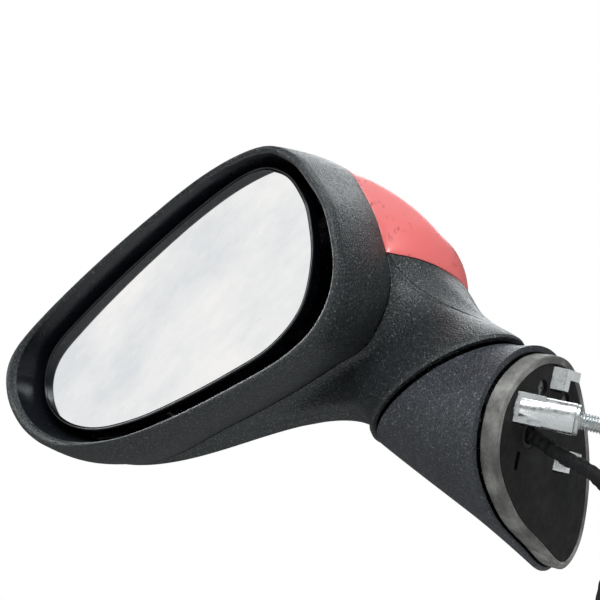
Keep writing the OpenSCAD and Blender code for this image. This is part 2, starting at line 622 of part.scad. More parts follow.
module foot_bracket() color([0.75, 0.76, 0.77]) difference() {
    union() {
        bracket_slab(-12, -plate_t - 0.3);
        intersection() {
            translate([axis_at[0], axis_at[1], -30]) cylinder(h = joint_z - 7 + 30, r = 13.5);
            bracket_slab(-80, -plate_t - 0.4);
        }
        along_stud([post_at[0], post_at[1], -8]) {
            translate([0, 0, 1]) channel(9, 10.6, 2.2, 15, 0);
            translate([0, 0, 8]) cylinder(h = post_len, r = 5.5);
        }
        along_stud([prong_high[0], prong_high[1], -8]) channel(6, 8, 1.8, 16.5, -35);
        along_stud([prong_low[0], prong_low[1], -8]) channel(6, 8, 1.8, 16, -35);
    }
    translate([axis_at[0], axis_at[1], head_at[2] + tube_low]) cylinder(h = 60, r = pivot_r);
    translate([axis_at[0], axis_at[1], -6]) cylinder(h = 40, r = tube_bore);
    translate([axis_at[0], axis_at[1], 3]) rotate([0, 0, -42]) translate([0, -4, 0]) cube([30, 8, 9.5]);
    along_stud([post_at[0], post_at[1], -8]) translate([0, 0, 9]) cylinder(h = 30, r = shank_r);
    on_face() translate([cable_at[0], cable_at[1], -20]) cylinder(h = 20, r = 4);
    on_face() for (c = screw_holes) translate([c[0], c[1], -16]) cylinder(h = 12, r = 1.7);
}

module mounting_stud() color([0.78, 0.78, 0.74]) along_stud([post_at[0], post_at[1], -8]) {
    translate([0, 0, 10]) cylinder(h = post_len - 2 + collar_t + eps, r = shank_r);
    translate([0, 0, 8 + post_len + collar_t]) cylinder(h = stud_len, r = stud_d / 2);
}

module stud_collar() color([0.8, 0.8, 0.78]) along_stud([post_at[0], post_at[1], -8])
    translate([0, 0, 8 + post_len + 0.05]) difference() {
        cylinder(h = collar_t - 0.05, r = collar_r);
        translate([0, 0, -1]) cylinder(h = 4, r = shank_r + 0.01);
    }

module base_plate() color([0.1, 0.09, 0.08]) difference() {
    face_slab(band + 0.05, -plate_t, 0);
    along_stud([post_at[0], post_at[1], -8]) {
        translate([-4.9, -5.7, -6]) cube([10.5, 11.4, 24]);
        hull() for (x = [0, 1]) translate([x, 0, -6]) cylinder(h = 36, r = 5.75);
    }
    along_stud([prong_high[0], prong_high[1], -8]) translate([-3.6, -4.6, -5]) cube([7.9, 9.2, 30]);
    along_stud([prong_low[0], prong_low[1], -8]) translate([-3.6, -4.6, -5]) cube([7.9, 9.2, 30]);
    on_face() translate([cable_at[0], cable_at[1], 0]) {
        translate([0, 0, -10]) cylinder(h = 20, r = 4.5);
        translate([0, 0, -0.9]) cylinder(h = 5, r = 5.1);
    }
    on_face() translate([slot_at[0] - 1.2, slot_at[1] - 3.2, -3]) cube([2.4, 6.4, 6]);
    on_face() for (c = screw_holes) translate([c[0], c[1], 0]) {
        translate([0, 0, -10]) cylinder(h = 20, r = 1.7);
        translate([0, 0, -3.5]) cylinder(h = 10, r = 3.2);
    }
}

module base_gasket() color([0.42, 0.4, 0.38]) difference() {
    face_slab(0, -plate_t - 0.2, 0);
    face_slab(band, -20, 20);
}

module base_screws() color([0.35, 0.35, 0.35]) on_face() for (c = screw_holes) translate([c[0], c[1], -11]) {
    cylinder(h = 8, r = 1.6);
    translate([0, 0, 7.6]) difference() {
        cylinder(h = 2, r = 3);
        translate([0, 0, 1]) for (a = [0, 90]) rotate([0, 0, a]) translate([-2, -0.4, 0]) cube([4, 0.8, 2]);
    }
}

cover_rows = 60;
cover_steps = 6;
step_in = 1.2; // the cover's top edge sits inside the rim above it
// One line of the cover, from the fold joint down to the mounting face, for a angle round the joint.
function cover_line(a) =
    let (t = (720 - a) % 360 / 30, p = spline(face_curve, t), o = outward(face_curve, t))
    let (q = face_point(p + (2.6 + 1.2 * max(-o[0], 0)) * o, cover_edge))
    let (j = [head_at[0] + joint_at[0] + (joint_rx - step_in) * cos(a),
        head_at[1] + joint_at[1] + (joint_ry - step_in) * sin(a), joint_z - joint_gap / 2])
    [for (k = [0:cover_steps]) bezier(j, mix(j, q, 0.33) + [0, 0, -1.5], mix(j, q, 0.67), q, k / cover_steps)];

module foot_cover() color([0.2, 0.21, 0.23])
    shell([for (i = [0:cover_rows - 1]) cover_line(i * 360 / cover_rows)], wall, true);

// ---------------------------------------------------------------- harness and cable

cable_route = [
    [4.6, -15, 3.8], [6.6, -13.6, -1.5], [9, -12, -7], [11.5, -10, -12], [14, -8.2, -17], [15.6, -6.6, -24],
    [14.6, -6.4, -31], [11.5, -8, -39], [6.5, -11.5, -47], [0, -16.5, -55], [-6, -21, -64], [-9.5, -24, -75],
    [-10, -25, -90], [-8, -25, -105], [-6, -24, -120], [-6, -22, -135], [-8, -20, -150], [-10, -19, -165],
    [-10, -19, -180]
];
harness_top = [
    [axis_at[0], axis_at[1], joint_z + 0.3], [axis_at[0], axis_at[1], joint_z + 14],
    [axis_at[0], axis_at[1], joint_z + 25], [axis_at[0], axis_at[1], joint_z + 34],
    [-21, -1, 88], [-27, 4, 100], [-38, 8, 110], [-52, 9, 118], [-64, 9.4, 122.5], [-73.5, 7.6, 124],
    [-76, 1.5, 124], [-76, -1.6, 124]
];
harness_low = [
    [axis_at[0], axis_at[1], joint_z - 0.3], [axis_at[0], axis_at[1], joint_z - 12],
    [axis_at[0], axis_at[1], joint_z - 24], [-19.3, -2.3, 11.5], [-15.6, -6.2, 7.6], [-10, -12, 8], [-6, -14.4, 11],
    [-3.4, -15, 11.5], [0, -15, 8.4], [3.8, -15, 4.6]
];
function even(p, n) = [for (i = [0:n]) course(p, i / n)];

module head_harness() color([0.08, 0.08, 0.08]) bar(even(harness_top, 30), harness_r, 8, [0.3, 1, 0]);
module foot_harness() color([0.08, 0.08, 0.08]) bar(even(harness_low, 24), harness_r, 8, [0.3, 1, 0]);
module cable() color([0.06, 0.06, 0.07]) bar(even(cable_route, 54), cable_r, 8, [0.3, 1, 0]);

module cable_grommet() color([0.1, 0.1, 0.1]) on_face() translate([cable_at[0], cable_at[1], 0]) difference() {
    union() {
        translate([0, 0, -plate_t]) cylinder(h = plate_t, r = 4.4);
        translate([0, 0, -0.8]) cylinder(h = 0.8, r = 5);
    }
    translate([0, 0, -10]) cylinder(h = 20, r = cable_r + 0.6);
}

plug_at = [-10, -19, -180.3];
module cable_connector() color([0.1, 0.1, 0.11]) translate(plug_at) {
    difference() {
        translate([-8, -6, -24]) cube([16, 12, 24]);
        translate([-6.4, -4.4, -25]) cube([12.8, 8.8, 17]);
    }
    for (x = [-4.2, -1.4, 1.4, 4.2]) for (y = [-2, 2]) translate([x - 0.5, y - 0.5, -20]) cube([1, 1, 13]);
    translate([-3, 6 - eps, -18]) cube([6, 2, 12]);
}

mirror_glass();
heater_pad();
glass_holder();
pivot_cross();
pan_screw();
tilt_screw();
pan_gear();
tilt_gear();
pan_worm();
tilt_worm();
pan_motor();
tilt_motor();
actuator_front();
actuator_rear();
actuator_screws();
inner_frame();
frame_screws();
bezel_ring();
painted_cap();
lower_housing();
head_harness();
pivot_tube();
stop_ring();
thrust_washer();
fold_spring();
spring_retainer();
foot_bracket();
foot_cover();
base_plate();
base_gasket();
base_screws();
mounting_stud();
stud_collar();
foot_harness();
cable_grommet();
cable();
cable_connector();
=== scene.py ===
"""Left-hand door mirror of a small car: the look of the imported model.

Lengths in the shape code are millimetres; new_mesh turns them into metres.
"""

import json
import math

import bmesh
import bpy
import numpy as np
from mathutils import Matrix, Vector

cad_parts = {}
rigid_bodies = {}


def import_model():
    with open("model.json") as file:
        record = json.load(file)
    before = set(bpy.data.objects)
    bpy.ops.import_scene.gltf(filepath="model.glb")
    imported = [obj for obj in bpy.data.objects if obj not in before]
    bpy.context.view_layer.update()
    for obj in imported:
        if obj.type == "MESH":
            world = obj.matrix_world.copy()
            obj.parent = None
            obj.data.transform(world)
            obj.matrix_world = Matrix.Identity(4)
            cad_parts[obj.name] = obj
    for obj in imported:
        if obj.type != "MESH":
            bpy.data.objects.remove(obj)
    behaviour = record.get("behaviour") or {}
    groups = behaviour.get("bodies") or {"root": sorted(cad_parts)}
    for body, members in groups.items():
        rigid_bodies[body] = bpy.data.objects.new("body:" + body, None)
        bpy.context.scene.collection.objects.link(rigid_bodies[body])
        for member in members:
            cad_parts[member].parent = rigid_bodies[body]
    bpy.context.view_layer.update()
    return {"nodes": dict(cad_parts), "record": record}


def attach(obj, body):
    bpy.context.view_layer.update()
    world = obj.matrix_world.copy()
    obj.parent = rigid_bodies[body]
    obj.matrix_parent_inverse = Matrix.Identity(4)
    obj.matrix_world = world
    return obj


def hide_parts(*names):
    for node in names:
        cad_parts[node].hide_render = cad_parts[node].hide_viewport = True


scene = bpy.context.scene
scene.view_settings.view_transform = "Standard"
scene.view_settings.look = "None"

# ------------------------------------------------------------------ camera
camera = bpy.data.objects.new("camera", bpy.data.cameras.new("camera"))
scene.collection.objects.link(camera)
camera.data.lens = 63
camera.data.sensor_width = 36
camera.data.clip_start, camera.data.clip_end = 0.01, 20
right, up = Vector((0.678, 0.646, -0.351)), Vector((0.616, -0.238, 0.751))
back = Vector((0.402, -0.725, -0.559))
camera.matrix_world = Matrix.Translation((0.1266, -0.3455, -0.1380)) @ Matrix(
    [[right[i], up[i], back[i]] for i in range(3)]
).to_quaternion().to_matrix().to_4x4()
scene.camera = camera

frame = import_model()
nodes = frame["nodes"]

# ------------------------------------------------------------------ curves
def V(*a):
    return np.array(a, float)


def mix(a, b, k):
    return a + (b - a) * k


def unit(v):
    return v / max(np.linalg.norm(v), 1e-9)


def cubic(a, b, c, d, u):
    """Catmull-Rom curve from b to c, for u from 0 to 1."""
    return 0.5 * (2 * b + (c - a) * u + (2 * a - 5 * b + 4 * c - d) * u * u + (3 * b - a - 3 * c + d) * u**3)


def spline(p, t):
    """Closed smooth curve through the points p; t counts points."""
    n, i = len(p), math.floor(t)
    return cubic(p[(i - 1) % n], p[i % n], p[(i + 1) % n], p[(i + 2) % n], t - i)


def course(p, k):
    """Open smooth curve through the points p, for k from 0 to 1."""
    m = len(p) - 1
    t = min(k, 0.99999) * m
    i = math.floor(t)
    return cubic(p[max(i - 1, 0)], p[i], p[i + 1], p[min(i + 2, m)], t - i)


def bezier(a, b, c, d, s):
    """Bezier curve from a to d with the handles b and c."""
    return a * (1 - s) ** 3 + b * 3 * s * (1 - s) ** 2 + c * 3 * s * s * (1 - s) + d * s**3


def outward(p, t):
    """Unit vector that points out of the closed curve p at t."""
    v = unit(spline(p, t + 0.05) - spline(p, t - 0.05))
    return V(v[1], -v[0])


def rounded(points, cuts, steps=4):
    """The closed polyline with rounded corners; cuts says how far from each corner its rounding starts."""
    made, n = [], len(points)
    for i, (p, c) in enumerate(zip(points, cuts)):
        if c == 0:
            made.append(p)
            continue
        a, b = points[i - 1] - p, points[(i + 1) % n] - p
        la, lb = np.linalg.norm(a), np.linalg.norm(b)
        ca, cb = min(c, 0.48 * la), min(c, 0.48 * lb)
        p0, p1 = p + a * ca / max(la, 1e-9), p + b * cb / max(lb, 1e-9)
        for k in range(steps + 1):
            s = k / steps
            made.append(p0 * (1 - s) ** 2 + p * 2 * s * (1 - s) + p1 * s * s)
    return made


# ------------------------------------------------------------------ meshes
def new_mesh(name, verts, faces, mats, picks=None, uvs=None):
    """A mesh piece from points in millimetres.
    picks gives each face's material, uvs one pair for each face corner."""
    mesh = bpy.data.meshes.new(name)
    mesh.from_pydata([tuple(0.001 * x for x in v) for v in verts], [], [tuple(f) for f in faces])
    for m in mats:
        mesh.materials.append(m)
    if picks is not None:
        mesh.polygons.foreach_set("material_index", picks)
    if uvs is not None:
        layer = mesh.uv_layers.new(name="run")
        layer.data.foreach_set("uv", [x for uv in uvs for x in uv])
    bm = bmesh.new()
    bm.from_mesh(mesh)
    bmesh.ops.recalc_face_normals(bm, faces=bm.faces)
    if bm.calc_volume(signed=True) < 0:
        bmesh.ops.reverse_faces(bm, faces=bm.faces)
    bm.to_mesh(mesh)
    bm.free()
    mesh.polygons.foreach_set("use_smooth", [True] * len(mesh.polygons))
    o = bpy.data.objects.new(name, mesh)
    scene.collection.objects.link(o)
    return o


def loft(name, grid, mats, wrap=True, pick=None):
    """Joins closed sections, one after another: n sections of m points.
    wrap joins the last to the first; otherwise each end is capped. pick(i, j) gives a face's material.
    The UV map runs from 0 to 1 along the sections and round them."""
    n, m = len(grid), len(grid[0])
    verts = [p for row in grid for p in row]
    faces, picks, uvs = [], [], []
    for i in range(n if wrap else n - 1):
        for j in range(m):
            k, q = (j + 1) % m, (i + 1) % n
            faces.append((i * m + j, q * m + j, q * m + k, i * m + k))
            picks.append(pick(i, j) if pick else 0)
            u0, u1, v0, v1 = i / n, (i + 1) / n, j / m, (j + 1) / m
            uvs += [(u0, v0), (u1, v0), (u1, v1), (u0, v1)]
    if not wrap:
        for ring, end in ((range(m - 1, -1, -1), 0), (range(m), n - 1)):
            faces.append([end * m + j for j in ring])
            picks.append(pick(min(end, n - 2), 0) if pick else 0)
            uvs += [(end / n, 0)] * m
    return new_mesh(name, verts, faces, mats, picks, uvs)


def weighted(o, angle=40):
    """Clean shading: hard edges stay hard and large faces rule the normals."""
    o.data.set_sharp_from_angle(angle=math.radians(angle))
    m = o.modifiers.new("normals", "WEIGHTED_NORMAL")
    m.keep_sharp = True
    return o


def grid_normals(g, wrap):
    """Unit normals at the points of a grid of lines; wrap says that the last line lies next to the first."""
    g = np.array(g)
    n, m = g.shape[:2]
    out = np.zeros_like(g)
    for i in range(n):
        a, b = (g[(i + 1) % n], g[i - 1]) if wrap else (g[min(i + 1, n - 1)], g[max(i - 1, 0)])
        for j in range(m):
            out[i, j] = unit(np.cross(a[j] - b[j], g[i, min(j + 1, m - 1)] - g[i, max(j - 1, 0)]))
    return out


def shell_sections(g, depth, wrap, cut=0.4, front=-1000, upto=0):
    """Closed sections of a shell: the outer side g, the inner side depth behind it, with softened rims.
    Inner points up to number upto are held at y = front or more, clear of the ring in front of them."""
    normals = grid_normals(g, wrap)
    rows = []
    for i, row in enumerate(g):
        inner = [p + depth * q for p, q in zip(row, normals[i])]
        inner = [V(q[0], max(q[1], front), q[2]) if j <= upto else q for j, q in enumerate(inner)][::-1]
        m = len(row)
        cuts = [cut] + [0] * (m - 2) + [cut, cut] + [0] * (m - 2) + [cut]
        rows.append(rounded(list(row) + inner, cuts, 3))
    return rows


def round_point(r, turn, z):
    """A point at the radius r and the share turn of a full turn about local Z."""
    return V(r * math.cos(2 * math.pi * turn), r * math.sin(2 * math.pi * turn), z)


def turned(profile, sides=48):
    """Sections of a solid of revolution about local Z, from (radius, z) pairs round a closed profile."""
    return [[round_point(r, k / sides, z) for r, z in profile] for k in range(sides)]


def placed(grid, move):
    """The sections with every point put through the function move."""
    return [[move(p) for p in row] for row in grid]


def joined(name, *parts):
    """One object from several."""
    for o in scene.objects:
        o.select_set(False)
    for o in parts:
        o.select_set(True)
    bpy.context.view_layer.objects.active = parts[0]
    bpy.ops.object.join()
    parts[0].name = name
    parts[0].data.name = name
    return parts[0]


# ------------------------------------------------------------------ places
# The head has its own frame: its origin is the middle of the glass's front, and its axes are the car's.
head_at = V(-96, -41, 138)
# the oval rim where the head meets the foot: middle, half lengths, height and gap
joint_at, joint_rx, joint_ry = V(75.8, 36.5), 35, 29
fold_z, joint_gap = -97, 2
wall, gap = 2.4, 0.3  # thickness of the shells, and the clearance between two of them
# depths in the head: the ring's front edge, the end of its throat, its rear edge, and the cap's back
lip_front, throat_y, rear_y, back_y = -11, 15, 25, 86
throat_gap = 4.5  # from the glass's edge to the throat
face_lean, stud_lean = math.radians(45), math.radians(25)
soften = 0.4  # how far from a shell's corner its rounding starts


def head(p):
    """A point of the head's frame in the part's frame."""
    return head_at + V(*p)


def face_point(p, out=0):
    """A point of the mounting face's plane, out millimetres toward the door."""
    return V(math.sin(face_lean) * p[1] + math.cos(face_lean) * out, p[0],
             math.cos(face_lean) * p[1] - math.sin(face_lean) * out)


def on_face(p):
    """The same for a point with three coordinates, the last of them toward the door."""
    return face_point((p[0], p[1]), p[2])


def along_stud(at):
    """Puts local points on the stud's leaning axis, which starts at the place at."""
    c, s = math.cos(stud_lean), math.sin(stud_lean)
    return lambda p: on_face((at[0] + c * p[0] + s * p[2], at[1] + p[1], at[2] - s * p[0] + c * p[2]))


def pairs(*v):
    return [V(*p) for p in v]


# Outlines in the plane of the glass, (x, z), all with the same number of points: the glass, the ring's
# inner lip, its outer lip and its rear edge.
glass_curve = pairs(
    (-97, 22), (-92, 3), (-74, -15), (-48, -28), (-20, -37), (8, -44), (32, -48), (52, -44), (66, -30),
    (73, -14), (75, -2), (72.6, 13.5), (61.2, 27.2), (36, 34.5), (-12, 39.5), (-58, 41), (-86, 38))
lip_in_curve = pairs(
    (-105, 27), (-100, 4), (-83, -18), (-55, -36), (-22, -48), (12, -57), (42, -63), (62, -61), (77, -49),
    (85, -26), (85, -8), (81.3, 10), (69.2, 25.4), (35.5, 38), (-18, 44.5), (-70, 46), (-95, 42))
lip_out_curve = pairs(
    (-113, 28), (-107, 3), (-90, -18), (-58, -37), (-23, -51), (13, -61.5), (43, -67.5), (64, -66), (80, -52),
    (88.5, -28), (89, -8), (85, 12), (71.2, 28), (37, 40.3), (-18, 47.7), (-72, 49.4), (-104, 45.5))
rear_curve = pairs(
    (-111, 28), (-106, 3), (-90, -20), (-58, -38.5), (-20, -47.5), (13, -55), (42, -59.5), (61, -61),
    (80, -48), (88, -24), (90, -4), (88, 15), (75, 32), (38, 45.8), (-18, 53.3), (-72, 53.5), (-102, 46.5))
# The cap's edge: x, share of the depth, z, the joint rim's angle below it, the place on rear_curve above it.
seam = pairs(
    (86, 0, -34, 0, 8.55), (91, 0.21, -37, 12, 9.3), (93.6, 0.41, -40, 25, 10.2),
    (93.2, 0.65, -43, 45, 11.1), (87.4, 0.86, -44, 65, 11.8), (71, 0.98, -43, 92, 12.4),
    (40, 1, -38, 125, 13.1), (0, 0.92, -28, 148, 13.8), (-40, 0.72, -17, 162, 14.7),
    (-80, 0.38, -5, 172, 16), (-106, 0, 3, 180, 17.97))
# The rest of the housing's upper edge: the place on rear_curve and the joint rim's angle below it.
front_edge = pairs(
    (0.97, 180), (2, 184), (3, 190), (4, 199), (5, 216), (6, 243), (7, 280), (8, 328), (8.55, 360))
# which way the housing's lines leave each of the two edges
front_lead = pairs(
    (0.06, 0.12, -0.08), (0.06, 0.12, -0.08), (0.02, 0.12, -0.16), (0.04, 0.17, -0.2), (-0.08, 0.215, -0.3))
seam_lead = pairs(
    (-0.08, 0.215, -0.3), (0.036, 0, -0.275), (0, 0, -0.32), (0.02, 0.03, -0.26), (0.06, 0.12, -0.08))
face_curve = pairs(
    (0, 36), (-18, 33), (-32, 22), (-37, 8), (-32, -9), (-14, -24), (8, -33), (29, -39.4), (39.5, -28.5),
    (38, -8), (29, 11), (14, 29))
cable_route = pairs(
    (4.6, -15, 3.8), (6.6, -13.6, -1.5), (9, -12, -7), (11.5, -10, -12), (14, -8.2, -17), (15.6, -6.6, -24),
    (14.6, -6.4, -31), (11.5, -8, -39), (6.5, -11.5, -47), (0, -16.5, -55), (-6, -21, -64), (-9.5, -24, -75),
    (-10, -25, -90), (-8, -25, -105), (-6, -24, -120), (-6, -22, -135), (-8, -20, -150), (-10, -19, -165),
    (-10, -19, -180))
# on the mounting face: where the stud's post starts and the cable comes out
post_at, cable_at = (-27, 14, -8), (-15, 6)


# ------------------------------------------------------------------ materials
class Tree:
    """A short way to build one material's nodes."""

    def __init__(self, name):
        self.material = bpy.data.materials.new(name)
        self.material.use_nodes = True
        self.nt = self.material.node_tree
        self.shader = next(n for n in self.nt.nodes if n.type == "BSDF_PRINCIPLED")

    def add(self, kind, links=(), **values):
        n = self.nt.nodes.new(kind)
        for key, value in values.items():
            if key in n.inputs:
                n.inputs[key].default_value = value
            else:
                setattr(n, key, value)
        for socket, source in dict(links).items():
            self.nt.links.new(source, n.inputs[socket])
        return n

    def coords(self, scale=(1, 1, 1), which="Object"):
        """Texture coordinates, in metres for Object, times scale."""
        c = self.add("ShaderNodeTexCoord")
        return self.add("ShaderNodeMapping", {"Vector": c.outputs[which]}, Scale=scale).outputs["Vector"]

    def noise(self, scale, detail=2, rough=0.5, vector=None):
        n = self.add("ShaderNodeTexNoise", {"Vector": vector if vector is not None else self.coords()},
                     Scale=scale, Detail=detail, Roughness=rough)
        return n.outputs["Fac"]

    def span(self, value, a, b, lo, hi):
        """value, mapped so that a becomes lo and b becomes hi."""
        n = self.add("ShaderNodeMapRange", {"Value": value})
        n.inputs["From Min"].default_value, n.inputs["From Max"].default_value = a, b
        n.inputs["To Min"].default_value, n.inputs["To Max"].default_value = lo, hi
        return n.outputs["Result"]

    def blend(self, factor, a, b):
        """Colour a where factor is 0, colour b where it is 1; each is a tuple or a socket."""
        n = self.add("ShaderNodeMix", data_type="RGBA")
        self.nt.links.new(factor, n.inputs[0])
        for socket, value in ((n.inputs[6], a), (n.inputs[7], b)):
            if isinstance(value, tuple):
                socket.default_value = (*value, 1)
            else:
                self.nt.links.new(value, socket)
        return n.outputs[2]

    def times(self, a, b):
        return self.add("ShaderNodeMath", {0: a, 1: b}, operation="MULTIPLY").outputs[0]

    def bump(self, height, distance, under=None):
        """A relief of distance metres; under is a coarser relief that it lies on."""
        n = self.add("ShaderNodeBump", {"Height": height}, Strength=1.0, Distance=distance)
        if under is not None:
            self.nt.links.new(under, n.inputs["Normal"])
        return n.outputs["Normal"]

    def set(self, **sockets):
        """Sets the shader's inputs, each from a colour, a number or a socket, and gives the material."""
        for key, value in sockets.items():
            s = self.shader.inputs[key.replace("_", " ")]
            if isinstance(value, tuple):
                s.default_value = (*value, 1)
            elif isinstance(value, (int, float)):
                s.default_value = value
            else:
                self.nt.links.new(value, s)
        return self.material


def lighter(colour, factor, plus):
    return tuple(min(1, factor * x + plus) for x in colour)


def moulded(name, dark, light, rough, grain, depth=0.00010, glint_level=0.35, patch=28, **more):
    """Moulded plastic with a fine spark-eroded grain and soft patches; its lighter specks and bright flecks
    are painted sparkle, glints of light off the grain.
    """
    t = Tree(name)
    fine, broad = t.noise(grain, 2, 0.6), t.noise(patch, 3, 0.55)
    base = t.blend(t.span(broad, 0.35, 0.68, 0, 1), dark, light)
    # lighter specks: painted sparkle of light on the grain
    painted_sparkle = t.span(t.noise(grain * 1.5, 1, 0.4), 0.42, 0.6, 0, glint_level)
    base = t.blend(painted_sparkle, base, lighter(light, 2.0, 0.012))
    # bright flecks: painted glints of light on the grain
    painted_glints = t.span(t.noise(grain * 1.1, 1, 0.5), 0.62, 0.72, 0, glint_level)
    base = t.blend(painted_glints, base, lighter(light, 3.0, 0.115))
    r = t.span(t.noise(grain * 0.4, 2, 0.5), 0.3, 0.7, *rough)
    return t.set(Base_Color=base, Roughness=r, Normal=t.bump(fine, depth), **more)


charcoal = moulded(
    "charcoal_plastic", (0.0085, 0.0103, 0.0112), (0.0135, 0.0162, 0.0174), (0.34, 0.46), 1100,
    depth=0.0005, glint_level=0.9, Specular_IOR_Level=0.42)
# The foot cover: the same grained plastic, painted lighter and bluer as a painted sheen of the light that
# falls on it.
cover_sheen_plastic = moulded(
    "cover_sheen_plastic", (0.014, 0.0158, 0.020), (0.024, 0.0265, 0.0315), (0.36, 0.5), 1100,
    depth=0.0005, glint_level=0.9, patch=40, Specular_IOR_Level=0.42)
# The ring's throat: the ring's own plastic, smoother and with less grain, painted much darker as painted
# shade inside the ring.
throat_shade_plastic = moulded(
    "throat_painted_shade", (0.004, 0.0045, 0.007), (0.007, 0.008, 0.011), (0.26, 0.34), 700,
    depth=0.00001, glint_level=0.03, Specular_IOR_Level=0.3)
black_plastic = moulded(
    "black_plastic", (0.010, 0.010, 0.010), (0.02, 0.02, 0.02), (0.5, 0.65), 1100,
    glint_level=0.15, Specular_IOR_Level=0.3)
natural = moulded(
    "natural_plastic", (0.60, 0.58, 0.49), (0.74, 0.72, 0.63), (0.3, 0.42), 900,
    depth=0.00004, glint_level=0.1)


def rim_gloss():
    """Smooth black plastic of the glass's holder, with a little dust."""
    t = Tree("holder_gloss")
    dust = t.span(t.noise(900, 3, 0.7), 0.62, 0.8, 0, 0.4)
    return t.set(Base_Color=t.blend(dust, (0.006, 0.007, 0.010), (0.05, 0.052, 0.055)),
                 Roughness=t.span(t.noise(140, 3, 0.6), 0.3, 0.7, 0.12, 0.24),
                 Normal=t.bump(t.noise(90, 2), 0.00004))


def mirror():
    """Silvered glass whose colour has greyer and whiter clouds, partly smudges and partly painted reflection,
    and small dark spots.
    """
    t = Tree("mirror_coating")
    # clouds in the colour: smudges and painted reflection
    smudge_and_reflection = t.noise(16, 6, 0.68, t.coords((1, 1, 2.0)))
    spots = t.span(t.noise(420, 1, 0.5), 0.74, 0.8, 0, 0.22)
    tint = t.blend(t.span(smudge_and_reflection, 0.36, 0.66, 0, 1), (0.79, 0.815, 0.835), (0.975, 0.965, 0.955))
    tint = t.blend(spots, tint, (0.55, 0.57, 0.58))
    rough = t.span(t.noise(24, 5, 0.65), 0.35, 0.75, 0.015, 0.05)
    return t.set(Base_Color=tint, Metallic=1, Roughness=rough)


def paint():
    """Red car paint, painted lighter toward the top as painted light from above, with scattered stone chips.
    """
    t = Tree("body_paint")
    height = t.add("ShaderNodeSeparateXYZ", {"Vector": t.coords()}).outputs["Z"]
    # lighter toward the top: painted light from above
    base = t.blend(t.span(height, 0.115, 0.185, 0, 1), (0.84, 0.17, 0.165), (0.86, 0.30, 0.295))
    base = t.blend(t.span(t.noise(14, 3, 0.55), 0.35, 0.7, 0, 0.35), base, (0.93, 0.31, 0.30))
    chips = t.span(t.noise(190, 4, 0.7), 0.575, 0.64, 0, 0.6)
    sparse = t.span(t.noise(40, 1), 0.47, 0.58, 0, 1)
    base = t.blend(t.times(chips, sparse), base, (0.36, 0.035, 0.035))
    peel = t.bump(t.noise(260, 2), 0.00003)
    return t.set(Base_Color=base, Roughness=t.span(t.noise(70, 4, 0.6), 0.3, 0.7, 0.28, 0.4), Coat_Weight=0.5,
                 Coat_Roughness=0.12, Normal=peel)


def rubber_band():
    """The worn band round the foot: pale scuffs that run along it."""
    t = Tree("gasket_rubber")
    streak = t.noise(3.2, 6, 0.7, t.coords((14, 260, 1), "UV"))
    blotch = t.noise(60, 4, 0.65)
    scuff = t.span(t.times(streak, t.span(blotch, 0.3, 0.65, 0.55, 1.25)), 0.38, 0.72, 0, 1)
    base = t.blend(scuff, (0.10, 0.097, 0.09), (0.46, 0.45, 0.42))
    return t.set(Base_Color=base, Roughness=t.span(scuff, 0, 1, 0.5, 0.72),
                 Normal=t.bump(streak, 0.00018, t.bump(t.noise(1100, 2), 0.00006)))


def plate_plastic():
    """Matt black plastic of the base plate, blotched with dust."""
    t = Tree("plate_plastic")
    blotch = t.span(t.noise(45, 5, 0.65), 0.34, 0.68, 0, 1)
    base = t.blend(blotch, (0.003, 0.0027, 0.0024), (0.008, 0.0072, 0.0064))
    base = t.blend(t.span(t.noise(700, 2), 0.66, 0.76, 0, 0.5), base, (0.045, 0.042, 0.037))
    return t.set(Base_Color=base, Specular_IOR_Level=0.25,
                 Roughness=t.span(t.noise(200, 3), 0.3, 0.7, 0.5, 0.68),
                 Normal=t.bump(t.noise(1300, 2, 0.6), 0.00012, t.bump(t.noise(160, 3), 0.0002)))


def metal(name, a, b, rough, grain, depth=0.00006, brush=(1, 1, 1), stain=(0.1, 0.1, 0.1)):
    """Bare metal in patches of the colours a and b, with small stains; brush stretches its grain."""
    t = Tree(name)
    spot = t.noise(grain * 0.25, 4, 0.65)
    base = t.blend(t.span(spot, 0.35, 0.65, 0, 1), a, b)
    base = t.blend(t.span(t.noise(grain * 0.9, 3, 0.7), 0.62, 0.8, 0, 0.55), base, stain)
    fine = t.noise(grain, 3, 0.6, t.coords(brush))
    return t.set(Base_Color=base, Metallic=1, Roughness=t.span(fine, 0.3, 0.7, *rough),
                 Normal=t.bump(fine, depth))


def tape():
    """Woven black tape."""
    t = Tree("harness_tape")
    weave = t.noise(1900, 2, 0.7)
    fuzz = t.noise(120, 4, 0.6)
    base = t.blend(t.span(fuzz, 0.3, 0.72, 0, 1), (0.003, 0.003, 0.0035), (0.010, 0.010, 0.011))
    return t.set(Base_Color=base, Sheen_Weight=0.03, Specular_IOR_Level=0.3,
                 Roughness=t.span(weave, 0.3, 0.7, 0.5, 0.75),
                 Normal=t.bump(weave, 0.00012, t.bump(fuzz, 0.0004)))


def heater_film():
    """Copper-coloured film with a darker wavy track."""
    t = Tree("heater_film")
    w = t.add("ShaderNodeTexWave", {"Vector": t.coords()}, Scale=60, Distortion=1.5)
    base = t.blend(t.span(w.outputs["Fac"], 0.45, 0.55, 0, 1), (0.42, 0.20, 0.08), (0.16, 0.06, 0.025))
    return t.set(Base_Color=base, Roughness=t.span(t.noise(300), 0.3, 0.7, 0.3, 0.5), Metallic=0.2)


